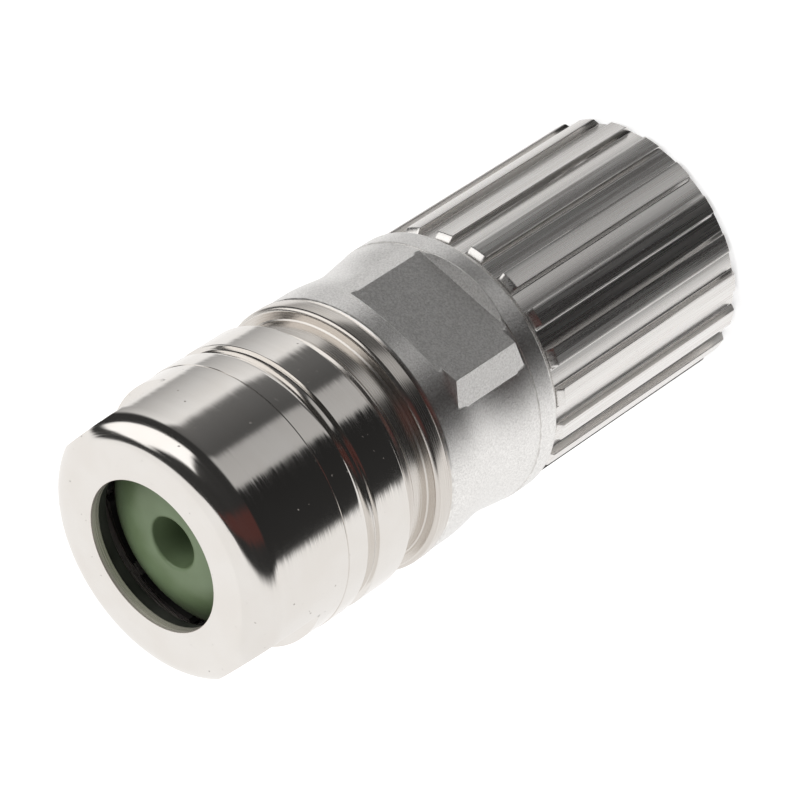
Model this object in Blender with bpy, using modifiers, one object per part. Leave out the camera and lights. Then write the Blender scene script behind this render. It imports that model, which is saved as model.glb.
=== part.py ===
"""Straight circular cable socket, standing on the open end of its coupling nut.

Sizes are in millimetres and are multiplied by MM where a mesh is made.
The axis is Z: the mating end is at Z = 0 and the cable goes in at the top.
Angles are in degrees about Z, counted from +X.
"""
import math

import bmesh
import bpy
from mathutils import Matrix, Vector

MM = 0.001

# Clearances
SEAT = 0.3
MERGE = 0.00001
OVERRUN = 2.0

# Facets round a full turn
BIG_STEPS = 48
SMALL_STEPS = 36
CONTACT_STEPS = 8

# Lengths along the axis, from the mating end up
COUPLING_LENGTH = 25.7
COLLAR_GAP = 0.5
BODY_LENGTH = 14.3
FLANGE_WIDTH = 1.9
GLAND_GAP = 3.6
GLAND_LENGTH = 18.8

# Radii of the housing: both nuts lie flush with the widest of its rings
FLANGE_RADIUS = 13.3
COLLAR_RADIUS = 13.3
BODY_RADIUS = 13.2
SLEEVE_RADIUS = 9.95

# Coupling nut
RIB_COUNT = 20
RIB_PHASE = 8.0
RIB_SETBACK = 0.3
RIB_HEIGHT = 0.67
RIB_WIDTH = 1.85
RIB_FLANK_DRAFT = 0.14
RIB_FOOT_CHAMFER = 0.45
RIB_HEAD_CHAMFER = 0.4
RIB_HEAD_HEIGHT = 0.27
NUT_HEAD_CHAMFER = 0.4
NUT_HEAD_LAND = 0.45
COUPLING_WALL = 1.33
COUPLING_THREAD_LENGTH = 12.0
COUPLING_RELIEF_DEPTH = 0.6
COUPLING_LEAD_IN = 0.6
INNER_FLANGE_WIDTH = 3.0

# Housing
COLLAR_WIDTH = 2.6
COLLAR_CHAMFER = 0.25
WAIST_DEPTH = 0.45
WAIST_LENGTH = 9.4
WAIST_POINTS = 8
FLANGE_FILLET = 0.45
FLANGE_FILLET_POINTS = 3
FLANGE_STEP = 0.25
THREAD_LEAD_IN = 0.4
TUBE_WALL = 1.45
TUBE_EDGE = 0.2
RECEPTACLE_GAP = 1.05
SLEEVE_WALL = 1.25
SLEEVE_STEP = 0.5
SLEEVE_RECESS = 4.5
SLEEVE_CHAMFER = 0.35

# Wrench pads on the housing
PAD_FLAT_SINK = 1.16
PAD_LENGTH = 9.0
PAD_FROM_COLLAR_FACE = 2.5
PAD_SETBACK = 0.05
PAD_START_ANGLE = -132.3
PAD_END_ANGLE = -56.8
PAD_ARC_POINTS = 10
PAD_ROOT_WALL = 1.0
WING_REACH = 7.2
WING_FOOT_RUN = 1.62
WING_FOOT_DROP = 2.35
WING_DRAFT = 0.55
POCKET_DRAFT = 0.5
PAD_TURNS = (0.0, 180.0)

# Snap ring and interface O-ring on the sleeve
SNAP_RING_THICKNESS = 1.0
SNAP_RING_GROOVE_DEPTH = 0.6
SNAP_RING_REACH = 1.0
SNAP_RING_OPENING = 24.0
O_RING_SECTION_RADIUS = 0.8
O_RING_GROOVE_DEPTH = 0.75
O_RING_DROP = 1.5
O_RING_FACETS = 10

# Gland nut
GLAND_SETBACK = 0.03
GLAND_FILLET = 2.8
GLAND_FILLET_POINTS = 7
CABLE_ENTRY_RADIUS = 7.46
LIP_THICKNESS = 1.0
LIP_EDGE = 0.15
GLAND_WALL = 0.92
GLAND_THREAD_DEPTH = 9.5
CHAMBER_CONE = 0.9
GROOVE_DEPTH_ALONG = 13.1
GROOVE_WIDTH = 1.75
GROOVE_FLOOR = 0.65
GROOVE_SINK = 0.5
GROOVE_POINTS = 4
GLAND_EDGE = 0.3
GLAND_FLAT_SINK = 1.07
GLAND_FLAT_LENGTH = 8.1
GLAND_FLAT_ANGLE = -23.8
TUBE_TOP_DEPTH = 10.6

# Slip ring, seal and clamping cage
SLIP_RING_WIDTH = 1.5
SLIP_RING_THICKNESS = 1.1
SLIP_RING_SETBACK = 1.15
SEAL_LENGTH = 8.3
SEAL_HOLE_RADIUS = 2.5
SEAL_DISH = 1.0
SEAL_EDGE = 0.4
SEAL_RIM = 0.8
SEAL_RIM_DROP = 0.1
SEAL_HOLE_LEAD = 0.3
CAGE_FINGERS = 8
CAGE_FINGER_WALL = 0.8
CAGE_FINGER_SLOT = 1.3
CAGE_FINGER_TOP_DROP = 1.5
CAGE_BASE_HEIGHT = 3.2
CAGE_BASE_BORE = 7.0

# Shield ring, distance sleeve and insulators
SHIELD_RING_HEIGHT = 2.6
SHIELD_RING_BORE = 6.6
SHELL_LENGTH = 17.5
SHELL_WALL = 1.2
REAR_INSULATOR_HEIGHT = 2.9
CARRIER_FLANGE_HEIGHT = 2.0
CARRIER_RECESS = 3.5
CARRIER_KEY_WIDTH = 1.6
CARRIER_KEY_HEIGHT = 1.2
CARRIER_KEY_DEPTH = 1.0

# Socket contacts
OUTER_CONTACTS = 9
CONTACT_EDGE = 2.2
OUTER_CIRCLE_PHASE = 90.0
INNER_CONTACTS = 3
INNER_CIRCLE_RADIUS = 2.4
INNER_CIRCLE_PHASE = 30.0
CONTACT_RADIUS = 0.95
CONTACT_HOLE_EXTRA = 0.3
CONTACT_BORE_RADIUS = 0.5
CONTACT_BORE_DEPTH = 7.0
CONTACT_RECESS = 0.6
CONTACT_COLLAR_RADIUS = 1.45
CONTACT_COLLAR_HEIGHT = 0.9
CONTACT_TAIL = 3.6
CONTACT_CUP_RADIUS = 0.6
CONTACT_CUP_DEPTH = 2.5

# Stations along the axis
collar_face_z = COUPLING_LENGTH + COLLAR_GAP
flange_foot_z = collar_face_z + BODY_LENGTH
flange_top_z = flange_foot_z + FLANGE_WIDTH
gland_foot_z = flange_top_z + GLAND_GAP
gland_top_z = gland_foot_z + GLAND_LENGTH
lip_foot_z = gland_top_z - LIP_THICKNESS
slip_top_z = lip_foot_z - SEAT
slip_foot_z = slip_top_z - SLIP_RING_THICKNESS
seal_top_z = slip_foot_z - SEAT
seal_foot_z = seal_top_z - SEAL_LENGTH
cage_base_top_z = seal_foot_z - SEAT
cage_foot_z = cage_base_top_z - CAGE_BASE_HEIGHT
shoulder_z = cage_foot_z - SEAT
shield_ring_top_z = shoulder_z
shield_ring_foot_z = shield_ring_top_z - SHIELD_RING_HEIGHT
shell_top_z = shield_ring_foot_z - SEAT
shell_foot_z = shell_top_z - SHELL_LENGTH
rear_insulator_top_z = shell_foot_z - SEAT
rear_insulator_foot_z = rear_insulator_top_z - REAR_INSULATOR_HEIGHT
carrier_flange_top_z = rear_insulator_foot_z - SEAT
carrier_flange_foot_z = carrier_flange_top_z - CARRIER_FLANGE_HEIGHT
sleeve_step_z = carrier_flange_foot_z - SEAT
sleeve_foot_z = SLEEVE_RECESS
carrier_foot_z = sleeve_foot_z + CARRIER_RECESS
inner_flange_foot_z = COUPLING_LENGTH - INNER_FLANGE_WIDTH
snap_ring_top_z = inner_flange_foot_z - SEAT
snap_ring_foot_z = snap_ring_top_z - SNAP_RING_THICKNESS
o_ring_groove_top_z = snap_ring_foot_z - SEAT - O_RING_DROP
o_ring_z = o_ring_groove_top_z - SEAT - O_RING_SECTION_RADIUS
o_ring_groove_foot_z = o_ring_z - O_RING_SECTION_RADIUS - SEAT
tube_top_z = gland_top_z - TUBE_TOP_DEPTH
pad_foot_z = collar_face_z + PAD_FROM_COLLAR_FACE
pad_top_z = pad_foot_z + PAD_LENGTH

# Radii of the shell's pieces, from its widest ring, its body and its sleeve
coupling_thread_radius = SLEEVE_RADIUS + RECEPTACLE_GAP
coupling_nut_need = coupling_thread_radius + COUPLING_WALL + RIB_HEIGHT + RIB_SETBACK
shell_radius = max(FLANGE_RADIUS, COLLAR_RADIUS, BODY_RADIUS, coupling_nut_need)
gland_radius = shell_radius - GLAND_SETBACK
pad_radius = BODY_RADIUS - PAD_SETBACK
pad_flat_distance = BODY_RADIUS - PAD_FLAT_SINK
gland_flat_distance = gland_radius - GLAND_FLAT_SINK
rib_radius = shell_radius - RIB_SETBACK
groove_radius = rib_radius - RIB_HEIGHT
sleeve_bore_radius = SLEEVE_RADIUS - SLEEVE_WALL
body_bore_radius = sleeve_bore_radius + SLEEVE_STEP
pad_root_radius = body_bore_radius + PAD_ROOT_WALL
flange_bore_radius = SLEEVE_RADIUS + SEAT
gland_thread_bore_radius = gland_radius - GLAND_WALL
gland_thread_radius = gland_thread_bore_radius - SEAT
tube_bore_radius = gland_thread_radius - TUBE_WALL

# Radii of what lies inside, each with its clearance to the wall round it
cage_radius = tube_bore_radius - SEAT
chamber_radius = cage_radius + SEAT
finger_bore_radius = cage_radius - CAGE_FINGER_WALL
seal_radius = finger_bore_radius - SEAT
slip_ring_radius = chamber_radius - SLIP_RING_SETBACK
slip_chamber_radius = slip_ring_radius + SEAT
slip_bore_radius = slip_ring_radius - SLIP_RING_WIDTH
insert_radius = body_bore_radius - SEAT
carrier_radius = sleeve_bore_radius - SEAT
outer_circle_radius = carrier_radius - CONTACT_EDGE


def clear_scene():
    for old in list(bpy.data.objects):
        bpy.data.objects.remove(old, do_unlink=True)


def new_collection(name):
    collection = bpy.data.collections.new(name)
    bpy.context.scene.collection.children.link(collection)
    return collection


def make_material(name, colour, roughness, metallic):
    material = bpy.data.materials.new(name)
    material.use_nodes = True
    shader = material.node_tree.nodes["Principled BSDF"]
    shader.inputs["Base Color"].default_value = (*colour, 1.0)
    shader.inputs["Roughness"].default_value = roughness
    shader.inputs["Metallic"].default_value = metallic
    return material


def add_object(name, mesh, collection, material=None):
    obj = bpy.data.objects.new(name, mesh)
    collection.objects.link(obj)
    if material is not None:
        mesh.materials.append(material)
    return obj


def arc_points(centre_r, centre_z, radius, start, end, count):
    """Points of an arc in the (r, z) half plane, angles in degrees from +r."""
    points = []
    for i in range(count):
        angle = math.radians(start + (end - start) * i / (count - 1))
        points.append((centre_r + radius * math.cos(angle), centre_z + radius * math.sin(angle)))
    return points


def turned(name, profile, steps, collection, material=None, closed=True):
    """A solid of revolution: the profile runs down its outer side and up its bore."""
    mesh = bpy.data.meshes.new(name)
    verts = [(r * MM, 0.0, z * MM) for r, z in profile]
    edges = [(i, i + 1) for i in range(len(verts) - 1)]
    if closed:
        edges.append((len(verts) - 1, 0))
    mesh.from_pydata(verts, edges, [])
    obj = add_object(name, mesh, collection, material)
    screw = obj.modifiers.new("turn", "SCREW")
    screw.axis = "Z"
    screw.angle = math.tau
    screw.steps = steps
    screw.render_steps = steps
    screw.use_merge_vertices = True
    screw.merge_threshold = MERGE
    screw.use_smooth_shade = True
    return obj


def cylinder_cutter(name, radius, foot_z, top_z, x, y, segments):
    bm = bmesh.new()
    bmesh.ops.create_cone(
        bm,
        cap_ends=True,
        segments=segments,
        radius1=radius * MM,
        radius2=radius * MM,
        depth=(top_z - foot_z) * MM,
    )
    bmesh.ops.translate(bm, verts=bm.verts, vec=(x * MM, y * MM, (foot_z + top_z) / 2 * MM))
    return cutter_from(bm, name)


def box_cutter(name, low, high, turn=0.0):
    """A box between two corners, turned about Z."""
    bm = bmesh.new()
    bmesh.ops.create_cube(bm, size=1.0)
    size = [(b - a) * MM for a, b in zip(low, high)]
    centre = [(a + b) / 2 * MM for a, b in zip(low, high)]
    bmesh.ops.scale(bm, verts=bm.verts, vec=size)
    bmesh.ops.translate(bm, verts=bm.verts, vec=centre)
    bmesh.ops.rotate(bm, verts=bm.verts, matrix=Matrix.Rotation(math.radians(turn), 3, "Z"))
    return cutter_from(bm, name)


def cutter_from(bm, name):
    mesh = bpy.data.meshes.new(name)
    bmesh.ops.recalc_face_normals(bm, faces=bm.faces)
    bm.to_mesh(mesh)
    bm.free()
    obj = add_object(name, mesh, cutters)
    obj.hide_render = True
    obj.display_type = "WIRE"
    return obj


def prism(name, outline, foot_z, top_z, turn=0.0, top_inset=None):
    """A vertical prism; top_inset(x, y) says how far a corner's two ends are drawn in."""
    bm = bmesh.new()
    base = [bm.verts.new((x * MM, y * MM, foot_z * MM)) for x, y in outline]
    face = bm.faces.new(base)
    grown = bmesh.ops.extrude_face_region(bm, geom=[face])
    lifted = [v for v in grown["geom"] if isinstance(v, bmesh.types.BMVert)]
    bmesh.ops.translate(bm, verts=lifted, vec=(0.0, 0.0, (top_z - foot_z) * MM))
    if top_inset is not None:
        for vert in base:
            vert.co.z += top_inset(vert.co.x / MM, vert.co.y / MM) * MM
        for vert in lifted:
            vert.co.z -= top_inset(vert.co.x / MM, vert.co.y / MM) * MM
    bmesh.ops.rotate(bm, verts=bm.verts, matrix=Matrix.Rotation(math.radians(turn), 3, "Z"))
    return cutter_from(bm, name)


def boolean(obj, tool, operation):
    modifier = obj.modifiers.new(operation.lower() + "_" + tool.name, "BOOLEAN")
    modifier.operation = operation
    modifier.object = tool
    modifier.solver = "EXACT"
    return modifier


def gland_nut():
    """Clamping nut: rounded mouth, wrench flats, a groove and a plain threaded skirt."""
    top = gland_top_z
    groove_top = top - GROOVE_DEPTH_ALONG
    groove_foot = groove_top - GROOVE_WIDTH
    floor_top = groove_foot + GROOVE_FLOOR
    fillet = arc_points(gland_radius - GLAND_FILLET, top - GLAND_FILLET, GLAND_FILLET, 90.0, 0.0,
                        GLAND_FILLET_POINTS)
    rounding = [
        (gland_radius - GROOVE_SINK * (1.0 - math.cos(i / GROOVE_POINTS * math.pi / 2)),
         groove_top + (floor_top - groove_top) * math.sin(i / GROOVE_POINTS * math.pi / 2))
        for i in range(GROOVE_POINTS + 1)
    ]
    thread_end = top - GLAND_THREAD_DEPTH
    cone_top = seal_top_z + SEAT
    profile = [(CABLE_ENTRY_RADIUS + LIP_EDGE, top)]
    profile += fillet
    profile += rounding
    profile += [
        (gland_radius - GROOVE_SINK, groove_foot),
        (gland_radius, groove_foot),
        (gland_radius, gland_foot_z + GLAND_EDGE),
        (gland_radius - GLAND_EDGE, gland_foot_z),
        (gland_thread_bore_radius + GLAND_EDGE, gland_foot_z),
        (gland_thread_bore_radius, gland_foot_z + GLAND_EDGE),
        (gland_thread_bore_radius, thread_end),
        (chamber_radius, thread_end + CHAMBER_CONE),
        (chamber_radius, cone_top - CHAMBER_CONE),
        (slip_chamber_radius, cone_top),
        (slip_chamber_radius, lip_foot_z),
        (CABLE_ENTRY_RADIUS, lip_foot_z),
        (CABLE_ENTRY_RADIUS, top - LIP_EDGE),
    ]
    nut = turned("gland_nut", profile, BIG_STEPS, parts, nickel)
    for i in range(2):
        flat = box_cutter(
            "gland_flat_cutter_%d" % (i + 1),
            (gland_flat_distance, -gland_radius, top - GLAND_FLAT_LENGTH),
            (gland_radius + OVERRUN, gland_radius, top + OVERRUN),
            GLAND_FLAT_ANGLE + 180.0 * i,
        )
        boolean(nut, flat, "DIFFERENCE")
    return nut


def slip_ring():
    profile = [
        (slip_bore_radius, slip_top_z),
        (slip_ring_radius, slip_top_z),
        (slip_ring_radius, slip_foot_z),
        (slip_bore_radius, slip_foot_z),
    ]
    return turned("slip_ring", profile, SMALL_STEPS, parts, black_plastic)


def cable_seal():
    """Soft cable seal with a dished face round its hole."""
    profile = [
        (SEAL_HOLE_RADIUS + SEAL_HOLE_LEAD, seal_top_z - SEAL_DISH),
        (seal_radius - SEAL_RIM, seal_top_z - SEAL_RIM_DROP),
        (seal_radius - SEAL_EDGE, seal_top_z),
        (seal_radius, seal_top_z - SEAL_EDGE),
        (seal_radius, seal_foot_z + SEAL_EDGE),
        (seal_radius - SEAL_EDGE, seal_foot_z),
        (SEAL_HOLE_RADIUS + SEAL_HOLE_LEAD, seal_foot_z),
        (SEAL_HOLE_RADIUS, seal_foot_z + SEAL_HOLE_LEAD),
        (SEAL_HOLE_RADIUS, seal_top_z - SEAL_DISH - SEAL_HOLE_LEAD),
    ]
    return turned("cable_seal", profile, SMALL_STEPS, parts, green_rubber)


def clamping_cage():
    """Ring with fingers round the seal, which the nut's cone presses inwards."""
    finger_top = seal_top_z - CAGE_FINGER_TOP_DROP
    profile = [
        (finger_bore_radius, finger_top),
        (cage_radius, finger_top - SEAT),
        (cage_radius, cage_foot_z),
        (CAGE_BASE_BORE, cage_foot_z),
        (CAGE_BASE_BORE, cage_base_top_z),
        (finger_bore_radius, cage_base_top_z),
    ]
    cage = turned("clamping_cage", profile, SMALL_STEPS, parts, black_plastic)
    for i in range(CAGE_FINGERS // 2):
        slot = box_cutter(
            "finger_slot_cutter_%d" % (i + 1),
            (-cage_radius - OVERRUN, -CAGE_FINGER_SLOT / 2, cage_base_top_z + SEAT),
            (cage_radius + OVERRUN, CAGE_FINGER_SLOT / 2, finger_top + OVERRUN),
            (i + 0.5) * 360.0 / CAGE_FINGERS,
        )
        boolean(cage, slot, "DIFFERENCE")
    return cage


def plain_ring(name, bore, radius, foot_z, top_z, material):
    profile = [(bore, top_z), (radius, top_z), (radius, foot_z), (bore, foot_z)]
    return turned(name, profile, SMALL_STEPS, parts, material)


def waist_profile():
    """The body's outline between flange and collar, drawn in by a smooth waist."""
    centre = (pad_foot_z + pad_top_z) / 2
    points = []
    for i in range(WAIST_POINTS + 1):
        share = i / WAIST_POINTS
        sink = WAIST_DEPTH * math.sin(share * math.pi) ** 2
        points.append((BODY_RADIUS - sink, centre + WAIST_LENGTH / 2 - WAIST_LENGTH * share))
    return points


def housing():
    """Cast body: threaded tube, flange, waist with wrench pads, collar and front sleeve."""
    snap_floor = SLEEVE_RADIUS - SNAP_RING_GROOVE_DEPTH
    o_ring_floor = SLEEVE_RADIUS - O_RING_GROOVE_DEPTH
    flange_fillet = arc_points(FLANGE_RADIUS - FLANGE_FILLET, flange_top_z - FLANGE_FILLET,
                               FLANGE_FILLET, 90.0, 0.0, FLANGE_FILLET_POINTS)
    profile = [
        (tube_bore_radius + TUBE_EDGE, tube_top_z),
        (gland_thread_radius - THREAD_LEAD_IN, tube_top_z),
        (gland_thread_radius, tube_top_z - THREAD_LEAD_IN),
        (gland_thread_radius, flange_top_z),
        *flange_fillet,
        (FLANGE_RADIUS, flange_foot_z + FLANGE_STEP),
        (BODY_RADIUS - FLANGE_STEP, flange_foot_z),
        (BODY_RADIUS, flange_foot_z - FLANGE_STEP),
    ]
    profile += waist_profile()
    profile += [
        (COLLAR_RADIUS, collar_face_z + COLLAR_WIDTH - SEAT),
        (COLLAR_RADIUS, collar_face_z + COLLAR_CHAMFER),
        (COLLAR_RADIUS - COLLAR_CHAMFER, collar_face_z),
        (SLEEVE_RADIUS, collar_face_z),
        (SLEEVE_RADIUS, snap_ring_top_z + SEAT),
        (snap_floor, snap_ring_top_z + SEAT),
        (snap_floor, snap_ring_foot_z - SEAT),
        (SLEEVE_RADIUS, snap_ring_foot_z - SEAT),
        (SLEEVE_RADIUS, o_ring_groove_top_z),
        (o_ring_floor, o_ring_groove_top_z),
        (o_ring_floor, o_ring_groove_foot_z),
        (SLEEVE_RADIUS, o_ring_groove_foot_z),
        (SLEEVE_RADIUS, sleeve_foot_z + SLEEVE_CHAMFER),
        (SLEEVE_RADIUS - SLEEVE_CHAMFER, sleeve_foot_z),
        (sleeve_bore_radius + SLEEVE_CHAMFER, sleeve_foot_z),
        (sleeve_bore_radius, sleeve_foot_z + SLEEVE_CHAMFER),
        (sleeve_bore_radius, sleeve_step_z),
        (body_bore_radius, sleeve_step_z),
        (body_bore_radius, shoulder_z),
        (tube_bore_radius, shoulder_z),
        (tube_bore_radius, tube_top_z - TUBE_EDGE),
    ]
    body = turned("housing", profile, BIG_STEPS, parts, cast_nickel)
    for turn in PAD_TURNS:
        boolean(body, pad_sector(turn), "UNION")
        boolean(body, pad_wing(turn), "UNION")
    for turn in PAD_TURNS:
        boolean(body, pad_pocket(turn), "DIFFERENCE")
    return body


def pad_sector(turn):
    """The unwaisted stretch of the body that carries a wrench flat."""
    outer = []
    for i in range(PAD_ARC_POINTS + 1):
        share = i / PAD_ARC_POINTS
        outer.append(PAD_START_ANGLE + (PAD_END_ANGLE - PAD_START_ANGLE) * share)
    outline = [on_circle(pad_radius, a) for a in outer]
    outline += [on_circle(pad_root_radius, a) for a in reversed(outer)]
    return prism("pad_sector_%d" % turn, outline, pad_foot_z, pad_top_z, turn)


def on_circle(radius, angle):
    return (radius * math.cos(math.radians(angle)), radius * math.sin(math.radians(angle)))


def pad_wing(turn):
    """The edge of the flat that stands out past the round body, drafted at its ends."""
    slope = WING_FOOT_RUN / WING_FOOT_DROP
    crown = pad_flat_distance + OVERRUN / 4
    foot_drop = WING_FOOT_DROP + OVERRUN / 4
    outline = [
        (-WING_REACH + slope * (crown - pad_flat_distance), -crown),
        (-WING_REACH - slope * foot_drop, -pad_flat_distance + foot_drop),
        (-WING_REACH + OVERRUN / 4, -pad_root_radius + OVERRUN),
        (-WING_REACH / 2, -pad_root_radius),
        (-WING_REACH / 2, -crown),
    ]
    foot_distance = pad_flat_distance - WING_FOOT_DROP

    def inset(x, y):
        return WING_DRAFT * max(0.0, (-y - foot_distance) / WING_FOOT_DROP)

    return prism("pad_wing_%d" % turn, outline, pad_foot_z, pad_top_z, turn, inset)


def pad_pocket(turn):
    """Cutter for a wrench flat: a plane with end walls that lean outwards."""
    bm = bmesh.new()
    bmesh.ops.create_cube(bm, size=1.0)
    depth = OVERRUN + OVERRUN
    for vert in bm.verts:
        outside = vert.co.y < 0
        half = PAD_LENGTH / 2
        if outside:
            half += POCKET_DRAFT * depth
        side = 1.0 if vert.co.z > 0 else -1.0
        vert.co.x *= 2 * BODY_RADIUS * MM
        vert.co.y = -(pad_flat_distance + (depth if outside else 0.0)) * MM
        vert.co.z = ((pad_foot_z + pad_top_z) / 2 + side * half) * MM
    bmesh.ops.rotate(bm, verts=bm.verts, matrix=Matrix.Rotation(math.radians(turn), 3, "Z"))
    return cutter_from(bm, "pad_pocket_%d" % turn)


def rib_section(height, z):
    """One closed loop round the nut: four corners for each rib and groove."""
    half = math.degrees(RIB_WIDTH / 2 / rib_radius)
    draft = math.degrees(RIB_FLANK_DRAFT / rib_radius)
    crest = groove_radius + height
    loop = []
    for i in range(RIB_COUNT):
        centre = RIB_PHASE + i * 360.0 / RIB_COUNT
        for offset, radius in (
            (-half - draft, groove_radius),
            (-half, crest),
            (half, crest),
            (half + draft, groove_radius),
        ):
            x, y = on_circle(radius, centre + offset)
            loop.append((x, y, z))
    return loop


def round_section(radius, z):
    """A circle with the corners of rib_section, to join bore and outside."""
    return [
        (x * radius / math.hypot(x, y), y * radius / math.hypot(x, y), z)
        for x, y, _ in rib_section(RIB_HEIGHT, z)
    ]


def coupling_nut():
    """Ribbed coupling nut, lofted through sections down its outside and up its bore."""
    top = COUPLING_LENGTH
    relief_radius = coupling_thread_radius + COUPLING_RELIEF_DEPTH
    lead_radius = coupling_thread_radius + COUPLING_LEAD_IN
    sections = [
        round_section(groove_radius - NUT_HEAD_CHAMFER, top),
        rib_section(0.0, top - NUT_HEAD_CHAMFER),
        rib_section(RIB_HEAD_HEIGHT, top - NUT_HEAD_LAND),
        rib_section(RIB_HEIGHT, top - NUT_HEAD_LAND - RIB_HEAD_CHAMFER),
        rib_section(RIB_HEIGHT, RIB_FOOT_CHAMFER),
        rib_section(0.0, 0.0),
        round_section(lead_radius, 0.0),
        round_section(coupling_thread_radius, COUPLING_LEAD_IN),
        round_section(coupling_thread_radius, COUPLING_THREAD_LENGTH),
        round_section(relief_radius, COUPLING_THREAD_LENGTH + COUPLING_RELIEF_DEPTH),
        round_section(relief_radius, inner_flange_foot_z),
        round_section(flange_bore_radius, inner_flange_foot_z),
        round_section(flange_bore_radius, top),
    ]
    bm = bmesh.new()
    rings = [[bm.verts.new(Vector(p) * MM) for p in section] for section in sections]
    for i, ring in enumerate(rings):
        below = rings[(i + 1) % len(rings)]
        for j in range(len(ring)):
            k = (j + 1) % len(ring)
            bm.faces.new((ring[j], below[j], below[k], ring[k]))
    bmesh.ops.recalc_face_normals(bm, faces=bm.faces)
    mesh = bpy.data.meshes.new("coupling_nut")
    bm.to_mesh(mesh)
    bm.free()
    return add_object("coupling_nut", mesh, parts, nickel)


def snap_ring():
    """Open ring in the sleeve's groove that keeps the coupling nut on."""
    bore = SLEEVE_RADIUS - SNAP_RING_GROOVE_DEPTH + SEAT
    ring = plain_ring("snap_ring", bore, SLEEVE_RADIUS + SNAP_RING_REACH, snap_ring_foot_z,
                      snap_ring_top_z, spring_steel)
    half_gap = SLEEVE_RADIUS * math.sin(math.radians(SNAP_RING_OPENING / 2))
    gap = box_cutter(
        "snap_ring_gap_cutter",
        (0.0, -half_gap, snap_ring_foot_z - OVERRUN),
        (SLEEVE_RADIUS + SNAP_RING_REACH + OVERRUN, half_gap, snap_ring_top_z + OVERRUN),
    )
    boolean(ring, gap, "DIFFERENCE")
    return ring


def o_ring():
    centre = SLEEVE_RADIUS - O_RING_GROOVE_DEPTH + SEAT + O_RING_SECTION_RADIUS
    profile = arc_points(centre, o_ring_z, O_RING_SECTION_RADIUS, 90.0,
                         90.0 - 360.0 * (O_RING_FACETS - 1) / O_RING_FACETS, O_RING_FACETS)
    return turned("interface_o_ring", profile, SMALL_STEPS, parts, black_rubber)


def distance_shells():
    """Insulating sleeve between the insulators and the shield ring, split lengthways."""
    shells = []
    for i, name in enumerate(("distance_shell_a", "distance_shell_b")):
        shell = plain_ring(name, insert_radius - SHELL_WALL, insert_radius, shell_foot_z,
                           shell_top_z, white_plastic)
        half = box_cutter(
            "shell_split_cutter_%d" % (i + 1),
            (-insert_radius - OVERRUN, -insert_radius - OVERRUN, shell_foot_z - OVERRUN),
            (SEAT / 2, insert_radius + OVERRUN, shell_top_z + OVERRUN),
            180.0 * i,
        )
        boolean(shell, half, "DIFFERENCE")
        shells.append(shell)
    return shells


def contact_places():
    """Centres of the contacts on their two circles, the outer one first."""
    places = []
    for count, radius, phase in (
        (OUTER_CONTACTS, outer_circle_radius, OUTER_CIRCLE_PHASE),
        (INNER_CONTACTS, INNER_CIRCLE_RADIUS, INNER_CIRCLE_PHASE),
    ):
        for i in range(count):
            places.append(on_circle(radius, phase + i * 360.0 / count))
    return places


def rear_insulator():
    profile = [
        (0.0, rear_insulator_top_z),
        (insert_radius, rear_insulator_top_z),
        (insert_radius, rear_insulator_foot_z),
        (0.0, rear_insulator_foot_z),
    ]
    plate = turned("rear_insulator", profile, SMALL_STEPS, parts, white_plastic, closed=False)
    drill(plate, "rear_hole", CONTACT_RADIUS + CONTACT_HOLE_EXTRA,
          rear_insulator_foot_z - OVERRUN, rear_insulator_top_z + OVERRUN)
    return plate


def contact_carrier():
    """Front insulator: a plug in the sleeve, hung by its flange on the sleeve's step."""
    profile = [
        (0.0, carrier_flange_top_z),
        (insert_radius, carrier_flange_top_z),
        (insert_radius, carrier_flange_foot_z),
        (carrier_radius, carrier_flange_foot_z),
        (carrier_radius, carrier_foot_z),
        (0.0, carrier_foot_z),
    ]
    carrier = turned("contact_carrier", profile, SMALL_STEPS, parts, black_plastic, closed=False)
    drill(carrier, "carrier_hole", CONTACT_RADIUS + CONTACT_HOLE_EXTRA,
          carrier_foot_z - OVERRUN, carrier_flange_top_z + OVERRUN)
    collar_foot = carrier_flange_top_z - CONTACT_COLLAR_HEIGHT - SEAT
    drill(carrier, "collar_seat", CONTACT_COLLAR_RADIUS + SEAT, collar_foot,
          carrier_flange_top_z + OVERRUN)
    key = box_cutter(
        "key_cutter",
        (carrier_radius - CARRIER_KEY_DEPTH, -CARRIER_KEY_WIDTH / 2, carrier_foot_z - OVERRUN),
        (carrier_radius + OVERRUN, CARRIER_KEY_WIDTH / 2, carrier_foot_z + CARRIER_KEY_HEIGHT),
        -90.0,
    )
    boolean(carrier, key, "DIFFERENCE")
    return carrier


def drill(obj, name, radius, foot_z, top_z):
    for i, (x, y) in enumerate(contact_places()):
        hole = cylinder_cutter("%s_cutter_%d" % (name, i + 1), radius, foot_z, top_z, x, y,
                               CONTACT_STEPS)
        boolean(obj, hole, "DIFFERENCE")


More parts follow.
